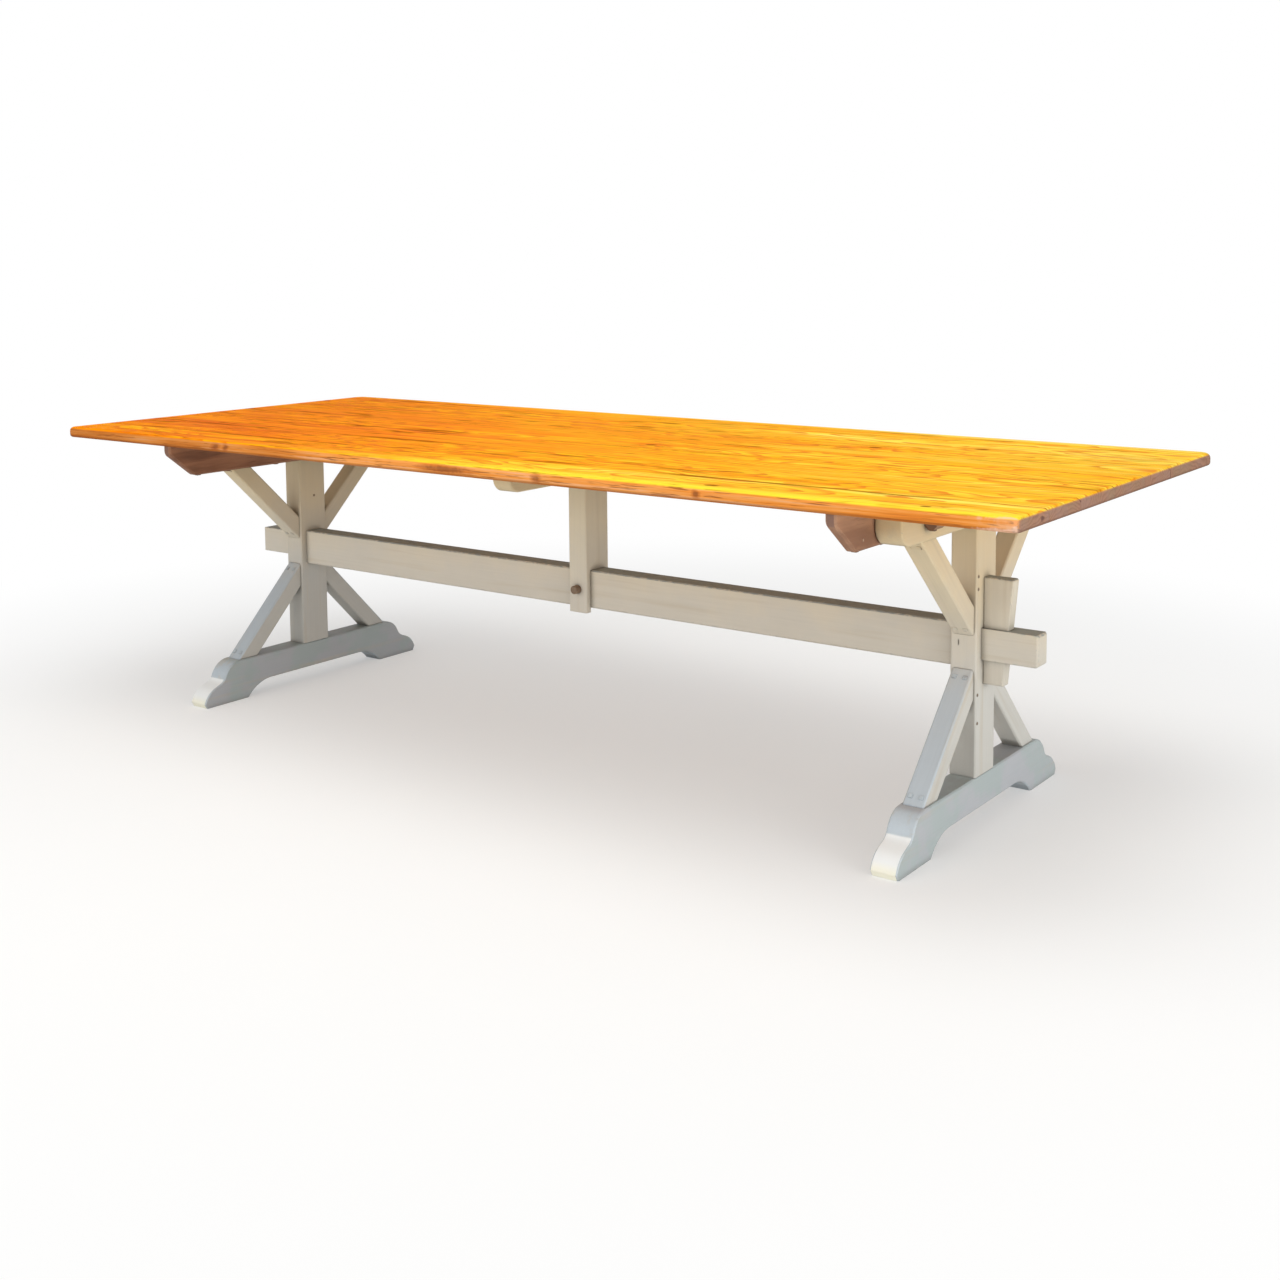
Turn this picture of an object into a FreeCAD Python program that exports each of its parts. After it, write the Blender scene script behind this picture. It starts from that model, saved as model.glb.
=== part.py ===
import FreeCAD, Part
import math
import os

# Trestle table that knocks down: a loose boarded top with battens under it, two braced trestles,
# and a stretcher whose through tenons are drawn tight by a tusk wedge.
# Millimetres, +X along the length, the front faces -Y, +Z up from the floor.

# Tabletop
table_length = 2743.0
table_width = 1092.0
table_height = 762.0
top_thickness = 28.0
front_corner_radius = 16.0
back_corner_radius = 34.0
top_edge_round = 11.0
under_edge_round = 8.0
board_width_shares = (0.118, 0.137, 0.166, 0.155, 0.146, 0.278)
joint_bevel = 0.8
tongue_thickness = 10.0
tongue_width = 20.0
tongue_stop = 70.0
tongue_clearance = 0.5

# Battens and stop blocks under the top
batten_thickness = 24.0
batten_height = 84.0
batten_inset = 9.0
batten_end_height = 22.0
batten_end_run = 80.0
batten_corner_radius = 20.0
batten_ease = 4.0
right_batten_gap = 1.0
left_batten_gap = 38.0
block_thickness = 26.0
block_length = 42.0
block_height = 57.0
block_chamfer = 8.0
block_setback = 93.0
block_gap = 1.0

# Cut spikes driven up through the battens and blocks into the boards
spike_size = 5.0
spike_bite = 20.0
spike_head_size = 11.0
spike_head_height = 2.0

# Trestles
trestle_setback = 333.0
trestle_thickness = 60.0
post_width = 95.0
post_ease = 3.0
foot_length = 804.0
foot_height = 110.0
foot_ease = 3.0
ogee_run = 124.0
toe_height = 12.0
toe_undercut = 7.0
arch_span = 501.0
arch_height = 39.0
arch_haunch = 85.0
bearer_length = 778.0
bearer_height = 82.0
bearer_end_radius = 38.0
bearer_ease = 3.0
post_tenon_thickness = 20.0
post_tenon_width = 56.0
post_tenon_depth = 55.0
mortise_clearance = 0.5

# Braces and the cut nails that hold them
brace_width = 47.0
brace_thickness = 48.0
brace_ease = 3.0
lower_brace_reach = 230.0
lower_brace_drop = 17.0
upper_brace_reach = 248.0
upper_brace_lap = 13.0
nail_size = 4.0
nail_length = 60.0
nail_head_size = 9.0
nail_head_height = 1.6
nail_set = 22.0
nail_spacing = 24.0

# Stretcher and its tusk wedge
stretcher_height = 95.0
stretcher_thickness = 56.0
stretcher_floor_gap = 341.0
stretcher_ease = 3.0
tenon_height = 68.0
tenon_thickness = 49.0
tenon_top_shoulder = 8.0
tenon_projection = 126.0
tenon_ease = 4.0
wedge_height = 229.0
wedge_top_width = 67.0
wedge_bottom_width = 45.0
wedge_thickness = 30.0
wedge_drop = 53.0
wedge_corner_radius = 5.0
wedge_ease = 2.0
wedge_fit = 0.1
wedge_side_clearance = 0.5
wedge_relief = 6.0

# Centre post, its bearer and its peg
centre_post_width = 91.0
centre_post_thickness = 55.0
centre_post_drop = 11.0
centre_bearer_length = 654.0
centre_bearer_height = 69.0
centre_bearer_end_radius = 34.0
centre_tenon_depth = 42.0
peg_radius = 10.5
peg_clearance = 0.3
peg_front_projection = 17.0
peg_back_projection = 8.0
peg_end_bevel = 1.5

# Extra length that carries every cut past the surface it leaves
overrun = 20.0

# Points down one end of a foot, from its top edge to its toe: shares of the run and of the drop
ogee_swell_shares = ((0.0, 0.0), (0.2580, 0.0996), (0.4282, 0.3644))
ogee_cove_shares = ((0.4282, 0.3644), (0.4840, 0.4703), (0.5680, 0.5402))
ogee_shelf_shares = ((0.5680, 0.5402), (0.7152, 0.6147))
ogee_nose_shares = ((0.7152, 0.6147), (0.8915, 0.7672), (1.0, 1.0))
# Middle of each haunch of the arch under a foot: share of its run and of the arch's height
haunch_middle_share = (0.38, 0.67)

# Places that follow from the sizes above
underside = table_height - top_thickness
trestle_x = table_length / 2 - trestle_setback
half_post = post_width / 2
bearer_bottom = underside - bearer_height
centre_bearer_bottom = underside - centre_bearer_height
stretcher_top = stretcher_floor_gap + stretcher_height
tenon_top = stretcher_top - tenon_top_shoulder
tenon_bottom = tenon_top - tenon_height
lower_brace_rise = tenon_bottom - lower_brace_drop - foot_height
upper_brace_rise = bearer_bottom - tenon_top + upper_brace_lap
shoulder_x = trestle_x - trestle_thickness / 2
post_face_x = trestle_x + trestle_thickness / 2
tenon_end_x = post_face_x + tenon_projection
wedge_bottom = tenon_bottom - wedge_drop
peg_z = stretcher_floor_gap + stretcher_height / 2
batten_bottom = underside - batten_height
batten_end_bottom = underside - batten_end_height
batten_half_length = table_width / 2 - batten_inset
block_bottom = underside - block_height

LEFT, RIGHT = -1, 1
FRONT, BACK = -1, 1
SIDES = {"left": LEFT, "right": RIGHT}
FACES = {"front": FRONT, "back": BACK}
X_AXIS = FreeCAD.Vector(1, 0, 0)
Y_AXIS = FreeCAD.Vector(0, 1, 0)
Z_AXIS = FreeCAD.Vector(0, 0, 1)


def vector(x, y, z):
    """A point or a direction."""
    return FreeCAD.Vector(x, y, z)


def about(centre, size):
    """The two ends of a span that is centred on a value."""
    return centre - size / 2, centre + size / 2


def block(x_span, y_span, z_span):
    """A box between two values on each axis."""
    spans = (x_span, y_span, z_span)
    sizes = [max(span) - min(span) for span in spans]
    return Part.makeBox(*sizes, vector(*[min(span) for span in spans]))


def line(start, end):
    """A straight edge."""
    return Part.LineSegment(start, end).toShape()


def arc(start, middle, end):
    """A round edge through three points."""
    return Part.Arc(start, middle, end).toShape()


def polygon(points):
    """The edges of a closed straight-sided outline."""
    return [line(a, b) for a, b in zip(points, points[1:] + points[:1])]


def prism(edges, path):
    """A solid made by pushing a closed flat outline along a straight path."""
    return Part.Face(Part.Wire(edges)).extrude(path)


def rounded(solid, radius, wanted):
    """The solid with its wanted edges rounded over."""
    return solid.makeFillet(radius, [edge for edge in solid.Edges if wanted(edge.BoundBox)])


def eased(solid, size, wanted):
    """The solid with its wanted arrises taken off by a narrow bevel."""
    return solid.makeChamfer(size, [edge for edge in solid.Edges if wanted(edge.BoundBox)])


# Tabletop


def board_edges():
    """The places across the table where boards begin and end, from the front."""
    edges = [-table_width / 2]
    for share in board_width_shares:
        edges.append(edges[-1] + share * table_width)
    return edges


def top_slab():
    """The whole top as one rounded slab, before it is parted into boards."""
    slab = block(about(0, table_length), about(0, table_width), (underside, table_height))
    for radius, face in ((front_corner_radius, FRONT), (back_corner_radius, BACK)):
        slab = rounded(slab, radius, lambda box: box.ZLength > top_edge_round and box.YMin * face > 0)
    slab = rounded(slab, top_edge_round, lambda box: box.ZMin > table_height - under_edge_round)
    return rounded(slab, under_edge_round, lambda box: box.ZMax < underside + under_edge_round)


def board_strip(start, end):
    """A long strip with the cross-section of one board, bevelled where it meets its neighbours."""
    low = underside - overrun
    high = table_height + overrun
    points = []
    for place, outward in ((start, FRONT), (end, BACK)):
        if abs(place) < table_width / 2 - joint_bevel:
            corner = (place, table_height - joint_bevel)
            cap = (place - outward * (joint_bevel + overrun), high)
            ends = [(place, low), corner, cap]
        else:
            ends = [(place + outward * overrun, low), (place + outward * overrun, high)]
        points += ends if outward == FRONT else reversed(ends)
    left = -table_length / 2 - overrun
    outline = [vector(left, y, z) for y, z in points]
    return prism(polygon(outline), X_AXIS * (table_length + 2 * overrun))


def tongues(clearance):
    """The loose tongues between the boards, or with no clearance their grooves."""
    x_span = about(0, table_length - 2 * tongue_stop)
    z_span = about(underside + top_thickness / 2, tongue_thickness)
    width = tongue_width - 2 * clearance
    return [block(x_span, about(joint, width), z_span) for joint in board_edges()[1:-1]]


def batten_x(side):
    """Middle of a batten, which stands just inboard of its trestle's bearer."""
    gap = right_batten_gap if side == RIGHT else left_batten_gap
    return side * (shoulder_x - gap - batten_thickness / 2)


def clear_runs(low, high):
    """The runs of board that a spike's head can take between two places, clear of every tongue."""
    edges = board_edges()
    head = spike_head_size / 2
    tongue = (tongue_width + spike_size) / 2
    runs = [(max(low + head, a + tongue), min(high - head, b - tongue)) for a, b in zip(edges, edges[1:])]
    return [run for run in runs if run[0] < run[1]]


def batten_spike_places():
    """One spike through each batten into every board, between the batten's sloped ends."""
    limit = batten_half_length - batten_end_run
    middles = [sum(run) / 2 for run in clear_runs(-limit, limit)]
    return [(batten_x(side), y) for side in SIDES.values() for y in middles]


def block_x():
    """Middle of the stop blocks, which stand just outside the right bearer."""
    return post_face_x + block_gap + block_thickness / 2


def block_y(face):
    """Middle of a stop block across the table, set in from the bearer's end."""
    return face * (bearer_length / 2 - block_setback - block_length / 2)


def block_spike_places():
    """A spike through each stop block, in the widest run of board over it."""
    places = []
    for face in FACES.values():
        runs = clear_runs(*about(block_y(face), block_length))
        places.append((block_x(), sum(max(runs, key=lambda run: run[1] - run[0])) / 2))
    return places


def spike_shank(x, y, bottom):
    """The square shank of a spike, which cuts its own hole."""
    return block(about(x, spike_size), about(y, spike_size), (bottom, underside + spike_bite))


def spikes(places, bottom):
    """The cut spikes at some places, heads down."""
    group = []
    for x, y in places:
        head_spans = about(x, spike_head_size), about(y, spike_head_size)
        head = block(*head_spans, (bottom - spike_head_height, bottom))
        group.append(spike_shank(x, y, bottom).fuse(head))
    return Part.makeCompound(group)


def spike_holes():
    """The shanks of all the spikes."""
    holes = [spike_shank(x, y, batten_bottom) for x, y in batten_spike_places()]
    return holes + [spike_shank(x, y, block_bottom) for x, y in block_spike_places()]


def top_boards():
    """The boards of the top, numbered from the front."""
    slab = top_slab()
    cutters = tongues(0) + spike_holes()
    edges = board_edges()
    boards = {}
    for number, (start, end) in enumerate(zip(edges, edges[1:]), start=1):
        boards[f"top_board_{number}"] = slab.common(board_strip(start, end)).cut(cutters)
    return boards


def batten(side):
    """A batten on edge under the boards, its ends cut away below."""
    end = batten_half_length
    start = batten_x(side) - batten_thickness / 2
    half = [(end, underside), (end, batten_end_bottom), (end - batten_end_run, batten_bottom)]
    points = half + [(-y, z) for y, z in reversed(half)]
    solid = prism(polygon([vector(start, y, z) for y, z in points]), X_AXIS * batten_thickness)
    lower = underside - batten_ease
    solid = rounded(solid, batten_corner_radius, lambda box: box.ZMax < lower and box.YLength < batten_ease)
    solid = eased(solid, batten_ease, lambda box: box.XLength < batten_ease and box.ZMin < lower)
    return solid.cut(spike_holes())


def stop_block(face):
    """A small block that keeps the top from sliding off its trestle."""
    z_span = (block_bottom, underside)
    solid = block(about(block_x(), block_thickness), about(block_y(face), block_length), z_span)
    lower = underside - block_chamfer
    solid = eased(solid, block_chamfer, lambda box: box.ZMax < lower and box.XLength < block_chamfer)
    return solid.cut(spike_holes())


# Trestles


def ogee_points(shares, end, x):
    """Points of a foot's end outline, on the front or the back."""
    start = foot_length / 2 - ogee_run
    drop = foot_height - toe_height
    return [vector(x, end * (start + run * ogee_run), foot_height - fall * drop) for run, fall in shares]


def foot_end(end, x):
    """The outline of one end of a foot: swell, cove, shelf, round nose, toe, pad and haunch."""
    toe = vector(x, end * (foot_length / 2 - toe_undercut), 0)
    pad = vector(x, end * arch_span / 2, 0)
    crown = vector(x, end * (arch_span / 2 - arch_haunch), arch_height)
    run, rise = haunch_middle_share
    haunch = vector(x, end * (arch_span / 2 - run * arch_haunch), rise * arch_height)
    nose = ogee_points(ogee_nose_shares, end, x)
    return [
        arc(*ogee_points(ogee_swell_shares, end, x)),
        arc(*ogee_points(ogee_cove_shares, end, x)),
        line(*ogee_points(ogee_shelf_shares, end, x)),
        arc(*nose),
        line(nose[-1], toe),
        line(toe, pad),
        arc(pad, haunch, crown),
    ]


def foot(side):
    """A foot with scrolled ends, an arch that leaves two pads, and the mortise of its post."""
    x = side * trestle_x - trestle_thickness / 2
    back, front = foot_end(BACK, x), foot_end(FRONT, x)
    ends = [ogee_points(ogee_swell_shares, end, x)[0] for end in (FRONT, BACK)]
    crowns = [edges[-1].Vertexes[-1].Point for edges in (back, front)]
    outline = [line(*ends)] + back + [line(*crowns)] + front[::-1]
    solid = prism(outline, X_AXIS * trestle_thickness)
    solid = eased(solid, foot_ease, lambda box: box.XLength < foot_ease and box.ZMax > foot_ease)
    return solid.cut([post_tenon(side, foot_height, -1, mortise_clearance)] + nail_shanks(side))


def post_tenon(side, seat, direction, clearance):
    """The tenon on one end of a post, or with a clearance its mortise."""
    tip = seat + direction * (post_tenon_depth + clearance)
    x_span = about(side * trestle_x, post_tenon_thickness + 2 * clearance)
    return block(x_span, about(0, post_tenon_width + 2 * clearance), (seat, tip))


def post(side):
    """A post with a tenon at each end and a mortise right through for the stretcher."""
    x_span = about(side * trestle_x, trestle_thickness)
    shaft = block(x_span, about(0, post_width), (foot_height, bearer_bottom))
    shaft = eased(shaft, post_ease, lambda box: box.ZLength > foot_height)
    tenons = [post_tenon(side, foot_height, -1, 0), post_tenon(side, bearer_bottom, 1, 0)]
    through = (min(x_span) - overrun, max(x_span) + overrun)
    width = tenon_thickness + 2 * mortise_clearance
    mortise = block(through, about(0, width), (tenon_bottom, tenon_top + mortise_clearance))
    return shaft.fuse(tenons).cut([mortise] + nail_shanks(side))


def bearer_bar(x, thickness, length, height, end_radius):
    """A bearer whose lower corners are rounded off, before its mortise is cut."""
    z_span = (underside - height, underside)
    solid = block(about(x, thickness), about(0, length), z_span)
    lower = underside - bearer_ease
    solid = rounded(solid, end_radius, lambda box: box.ZMax < lower and box.YLength < bearer_ease)
    return eased(solid, bearer_ease, lambda box: box.XLength < bearer_ease and box.ZMin < lower)


def bearer(side):
    """The bearer on top of a trestle."""
    x = side * trestle_x
    bar = bearer_bar(x, trestle_thickness, bearer_length, bearer_height, bearer_end_radius)
    return bar.cut([post_tenon(side, bearer_bottom, 1, mortise_clearance)] + nail_shanks(side))


# Braces: each is drawn by its reach along its seat and its rise along the post, to about the tenon's height

BRACES = {
    "lower": (lower_brace_reach, lower_brace_rise, foot_height, 1),
    "upper": (upper_brace_reach, upper_brace_rise, bearer_bottom, -1),
}


def brace(side, level, face):
    """A straight brace, cut to sit flat on the post and on the foot or bearer."""
    reach, rise, seat, upward = BRACES[level]
    slope = math.hypot(reach, rise)
    inner_reach = reach - brace_width * slope / rise
    inner_rise = rise - brace_width * slope / reach
    start = side * trestle_x - brace_thickness / 2
    corners = [(reach, 0), (0, rise), (0, inner_rise), (inner_reach, 0)]
    points = [vector(start, face * (half_post + out), seat + upward * up) for out, up in corners]
    solid = prism(polygon(points), X_AXIS * brace_thickness)
    ease_room = brace_width + brace_ease

    def long_arris(box):
        return box.XLength < brace_ease and min(box.YLength, box.ZLength) > ease_room

    return eased(solid, brace_ease, long_arris).cut(nail_shanks(side))


def nail_seats(side):
    """Where each nail of a trestle enters its brace, and the way its head faces."""
    seats = []
    for level, face in ((level, face) for level in BRACES for face in FACES.values()):
        reach, rise, seat, upward = BRACES[level]
        slope = math.hypot(reach, rise)
        along_reach, along_rise = nail_set * reach / slope, nail_set * rise / slope
        outward = vector(0, face * rise / slope, upward * reach / slope)
        for out, up in ((along_reach, rise - along_rise), (reach - along_reach, along_rise)):
            for x in about(side * trestle_x, nail_spacing):
                seats.append((vector(x, face * (half_post + out), seat + upward * up), outward))
    return seats


def driven(solid, seat, outward):
    """A nail or its shank turned and moved from the origin to its seat."""
    solid.Placement = FreeCAD.Placement(seat, FreeCAD.Rotation(Z_AXIS, outward))
    return solid


def nail_shank():
    """The square shank of a cut nail, its head end at the origin."""
    return block(about(0, nail_size), about(0, nail_size), (-nail_length, 0))


def nail_shanks(side):
    """The shanks of all the nails in a trestle, which cut their own holes."""
    return [driven(nail_shank(), *seat) for seat in nail_seats(side)]


def nails(side):
    """The cut nails of a trestle with their heads."""
    head_span = about(0, nail_head_size)
    group = []
    for seat in nail_seats(side):
        nail = nail_shank().fuse(block(head_span, head_span, (0, nail_head_height)))
        group.append(driven(nail, *seat))
    return Part.makeCompound(group)


# Stretcher, wedge, centre post and peg


def wedge_outline(z_span, inner_x, fit):
    """Corners of the wedge between two heights: upright by the post, tapered on the outside."""
    taper = (wedge_top_width - wedge_bottom_width) / wedge_height
    widths = [wedge_bottom_width + taper * (z - wedge_bottom) + fit for z in z_span]
    (low, high), (low_width, high_width) = z_span, widths
    return [(inner_x, low), (post_face_x + low_width, low), (post_face_x + high_width, high), (inner_x, high)]


def wedge_prism(side, corners, thickness):
    """A prism with the wedge's outline, on the left or the right."""
    points = [vector(side * x, -thickness / 2, z) for x, z in corners]
    return prism(polygon(points), Y_AXIS * thickness)


def tusk_wedge():
    """The wedge that draws the right post on to the stretcher's shoulder."""
    wedge_top = wedge_bottom + wedge_height
    corners = wedge_outline((wedge_bottom, wedge_top), post_face_x, 0)
    solid = wedge_prism(RIGHT, corners, wedge_thickness)

    def outer_top(box):
        return box.ZMin > wedge_top - wedge_ease and box.XMin > post_face_x + wedge_ease

    solid = rounded(solid, wedge_corner_radius, outer_top)
    return eased(solid, wedge_ease, lambda box: box.YLength < wedge_ease)


def wedge_mortise(side):
    """The hole for a wedge through a tenon, relieved inside the post so that the wedge can draw."""
    z_span = (tenon_bottom - overrun, tenon_top + overrun)
    corners = wedge_outline(z_span, post_face_x - wedge_relief, wedge_fit)
    return wedge_prism(side, corners, wedge_thickness + 2 * wedge_side_clearance)


def peg_hole():
    """The cutter of the peg's hole through the centre post and the stretcher."""
    length = centre_post_width + 2 * overrun
    return Part.makeCylinder(peg_radius + peg_clearance, length, vector(0, -length / 2, peg_z), Y_AXIS)


def stretcher():
    """The long rail with a shouldered through tenon and a wedge hole at each end."""
    bar = block(about(0, 2 * shoulder_x), about(0, stretcher_thickness), (stretcher_floor_gap, stretcher_top))
    bar = eased(bar, stretcher_ease, lambda box: box.XLength > stretcher_height)
    tenon = block(about(0, 2 * tenon_end_x), about(0, tenon_thickness), (tenon_bottom, tenon_top))
    tenon = eased(tenon, tenon_ease, lambda box: box.XLength < tenon_ease)
    return bar.fuse(tenon).cut([wedge_mortise(side) for side in SIDES.values()] + [peg_hole()])


def centre_tenon(clearance):
    """The tenon on top of the centre post, or with a clearance its mortise."""
    tip = centre_bearer_bottom + centre_tenon_depth + clearance
    x_span = about(0, post_tenon_thickness + 2 * clearance)
    return block(x_span, about(0, post_tenon_width + 2 * clearance), (centre_bearer_bottom, tip))


def centre_post():
    """The middle post, forked over the stretcher."""
    bottom = stretcher_floor_gap - centre_post_drop
    x_span = about(0, centre_post_thickness)
    shaft = block(x_span, about(0, centre_post_width), (bottom, centre_bearer_bottom))
    shaft = eased(shaft, post_ease, lambda box: box.ZLength > stretcher_height)
    through = about(0, centre_post_thickness + 2 * overrun)
    slot_width = stretcher_thickness + 2 * mortise_clearance
    slot = block(through, about(0, slot_width), (bottom - overrun, stretcher_top))
    return shaft.fuse(centre_tenon(0)).cut([slot, peg_hole()])


def centre_bearer():
    """The bearer on top of the centre post."""
    bar = bearer_bar(
        0, centre_post_thickness, centre_bearer_length, centre_bearer_height, centre_bearer_end_radius)
    return bar.cut(centre_tenon(mortise_clearance))


def centre_peg():
    """The round peg through the fork and the stretcher."""
    front = -centre_post_width / 2 - peg_front_projection
    length = centre_post_width + peg_front_projection + peg_back_projection
    peg = Part.makeCylinder(peg_radius, length, vector(0, front, peg_z), Y_AXIS)
    rims = [edge for edge in peg.Edges if edge.BoundBox.YLength < peg_end_bevel]
    return peg.makeChamfer(peg_end_bevel, rims)


def trestle(name, side):
    """All the pieces of one trestle."""
    pieces = {f"{name}_foot": foot(side), f"{name}_post": post(side), f"{name}_bearer": bearer(side)}
    for level in BRACES:
        for face_name, face in FACES.items():
            pieces[f"{name}_{level}_brace_{face_name}"] = brace(side, level, face)
    pieces[f"{name}_brace_nails"] = nails(side)
    return pieces


def table():
    """Every piece of the table by its name."""
    pieces = top_boards()
    pieces["board_tongues"] = Part.makeCompound(tongues(tongue_clearance))
    pieces["batten_spikes"] = spikes(batten_spike_places(), batten_bottom)
    pieces["block_spikes"] = spikes(block_spike_places(), block_bottom)
    for name, side in SIDES.items():
        pieces[f"{name}_batten"] = batten(side)
        pieces.update(trestle(name, side))
    for name, face in FACES.items():
        pieces[f"stop_block_{name}"] = stop_block(face)
    pieces["stretcher"] = stretcher()
    pieces["tusk_wedge"] = tusk_wedge()
    pieces["centre_post"] = centre_post()
    pieces["centre_bearer"] = centre_bearer()
    pieces["centre_peg"] = centre_peg()
    return pieces


os.makedirs("parts", exist_ok=True)
for node, shape in table().items():
    shape.exportStep(f"parts/{node}.step")
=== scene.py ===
"""Dresses the trestle table: a varnished pine top on worn, painted trestles.

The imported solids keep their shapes. Each one gets its finish here, the few nails that the solids leave out are
modelled on the posts and a batten, and a pale studio is set up round the table.
"""

from __future__ import annotations

import logging
import math
from dataclasses import dataclass, replace
from enum import Enum
from typing import Union

import bpy
from mathutils import Matrix, Vector


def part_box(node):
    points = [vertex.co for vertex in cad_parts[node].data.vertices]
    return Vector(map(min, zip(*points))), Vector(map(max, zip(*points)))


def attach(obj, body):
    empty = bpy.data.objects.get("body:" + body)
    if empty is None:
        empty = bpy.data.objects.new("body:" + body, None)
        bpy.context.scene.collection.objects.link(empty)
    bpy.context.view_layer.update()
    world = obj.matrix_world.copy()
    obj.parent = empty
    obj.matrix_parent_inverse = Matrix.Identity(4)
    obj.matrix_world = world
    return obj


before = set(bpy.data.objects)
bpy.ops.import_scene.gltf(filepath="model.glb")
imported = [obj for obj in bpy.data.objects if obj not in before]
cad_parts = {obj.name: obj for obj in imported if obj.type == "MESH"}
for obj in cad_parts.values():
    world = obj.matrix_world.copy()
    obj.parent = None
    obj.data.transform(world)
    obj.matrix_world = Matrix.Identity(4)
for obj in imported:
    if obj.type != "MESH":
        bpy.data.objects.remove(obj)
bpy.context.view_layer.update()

log = logging.getLogger("trestle_table")

Socket = bpy.types.NodeSocket
Triple = tuple[float, float, float]
Colour = tuple[float, float, float, float]
Number = Union[float, "Pattern"]
Tint = Union[Colour, Socket]
Inputs = dict[Union[int, str], Union[Number, Tint, Triple]]
Stops = tuple[tuple[float, Colour], ...]

EDGE_SAMPLES = 6
SHIFT_SHARES = (1.0, 1.7, 0.6)
UP = Vector((0, 0, 1))
OUTWARD = Vector((1, 0, 0))


def srgb(red: int, green: int, blue: int) -> Colour:
    """Turns a screen colour into the linear colour that a shader takes.

    Args:
        red: Red, from 0 to 255.
        green: Green, from 0 to 255.
        blue: Blue, from 0 to 255.

    Returns:
        The linear colour, with full alpha.
    """
    parts = [c / 255 for c in (red, green, blue)]
    linear = [c / 12.92 if c <= 0.04045 else ((c + 0.055) / 1.055) ** 2.4 for c in parts]
    return (*linear, 1.0)


class Grain(Enum):
    """Which way a timber's grain and brush strokes run."""

    LENGTH = "along the table"
    DEPTH = "across the table"
    UPRIGHT = "up and down"
    RISING = "leaning up towards the back"
    FALLING = "leaning up towards the front"

    @property
    def lean(self) -> float:
        """Angle of a leaning timber in the trestle's plane, in radians."""
        return {Grain.RISING: math.radians(45), Grain.FALLING: math.radians(-45)}.get(self, 0.0)

    def stretch(self, along: float, across: float) -> Triple:
        """Gives the pattern scale that draws a pattern out along the grain.

        Args:
            along: Pattern repeats per metre along the grain.
            across: Pattern repeats per metre across it.

        Returns:
            The scale on the three axes.
        """
        if self is Grain.LENGTH:
            return (along, across, across)
        if self is Grain.UPRIGHT:
            return (across, across, along)
        return (across, along, across)


class Side(Enum):
    """The two ends of the table, as the photograph shows them."""

    LEFT = "left"
    RIGHT = "right"


@dataclass(frozen=True)
class Pattern:
    """A number that varies over a surface. It takes plain arithmetic, and | gives the larger of two."""

    bench: NodeBench
    socket: Socket

    def __add__(self, other: Number) -> Pattern:
        """The two added up."""
        return self.bench.calc("ADD", self, other)

    def __sub__(self, other: Number) -> Pattern:
        """The other taken from this one."""
        return self.bench.calc("SUBTRACT", self, other)

    def __rsub__(self, other: float) -> Pattern:
        """This one taken from a plain number."""
        return self.bench.calc("SUBTRACT", other, self)

    def __mul__(self, other: Number) -> Pattern:
        """The two multiplied."""
        return self.bench.calc("MULTIPLY", self, other)

    def __truediv__(self, other: Number) -> Pattern:
        """This one divided by the other."""
        return self.bench.calc("DIVIDE", self, other)

    def __or__(self, other: Number) -> Pattern:
        """The larger of the two."""
        return self.bench.calc("MAXIMUM", self, other)

    def __abs__(self) -> Pattern:
        """How far it is from zero, whichever way."""
        return self.bench.calc("ABSOLUTE", self)

    __radd__ = __add__
    __rmul__ = __mul__

    def centred(self, reach: float) -> Pattern:
        """A noise turned about zero, to a reach."""
        return (self - 0.5) * reach

    def step(self, start: float, end: float) -> Pattern:
        """Rises smoothly from 0 at the start to 1 at the end, which may lie below the start."""
        limits = {"Value": self, "From Min": start, "From Max": end}
        return Pattern(self.bench, self.bench.add("MapRange", limits, interpolation_type="SMOOTHSTEP").outputs[0])


def oval(first: Pattern, first_half: float, second: Pattern, second_half: float) -> Pattern:
    """A squared distance that is 1 on the outline of an oval with these half sizes."""
    first, second = first / first_half, second / second_half
    return first * first + second * second


@dataclass(frozen=True)
class Skin:
    """How a finish meets the light: its bumps and its softened arrises in metres, and its gloss."""

    bump: float
    rounding: float
    gloss: float


class NodeBench:
    """A node tree, with a short call to add to it."""

    def __init__(self, tree: bpy.types.NodeTree) -> None:
        """Clears the tree."""
        self.tree = tree
        self.tree.nodes.clear()

    def wire(self, node: bpy.types.Node, inputs: Inputs) -> None:
        """Links a node's sockets to others, or sets their own values.

        Args:
            node: The node.
            inputs: What its sockets are fed with, by their names or numbers.
        """
        for name, value in inputs.items():
            value = value.socket if isinstance(value, Pattern) else value
            if isinstance(value, Socket):
                self.tree.links.new(value, node.inputs[name])
            else:
                node.inputs[name].default_value = value

    def add(self, kind: str, inputs: Inputs, **settings: Union[int, str]) -> bpy.types.Node:
        """Adds a node.

        Args:
            kind: Blender's name for the kind of node, without its prefix.
            inputs: What its sockets are fed with, by their names or numbers.
            **settings: The node's own settings.

        Returns:
            The node.
        """
        node = self.tree.nodes.new(f"ShaderNode{kind}")
        for name, setting in settings.items():
            setattr(node, name, setting)
        self.wire(node, inputs)
        return node

    def calc(self, operation: str, first: Number, second: Number = 0.0) -> Pattern:
        """One step of arithmetic, by Blender's name for it."""
        return Pattern(self, self.add("Math", {0: first, 1: second}, operation=operation).outputs[0])

    def seen(self) -> Pattern:
        """Tells the rays that show what they meet from those that carry light.

        Returns:
            1 for the rays that show what they meet, 0 for the others.
        """
        rays = self.add("LightPath", {}).outputs
        camera, glossy, clear = (Pattern(self, rays[f"Is {ray} Ray"]) for ray in ("Camera", "Glossy", "Transmission"))
        return camera | glossy | clear


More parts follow.
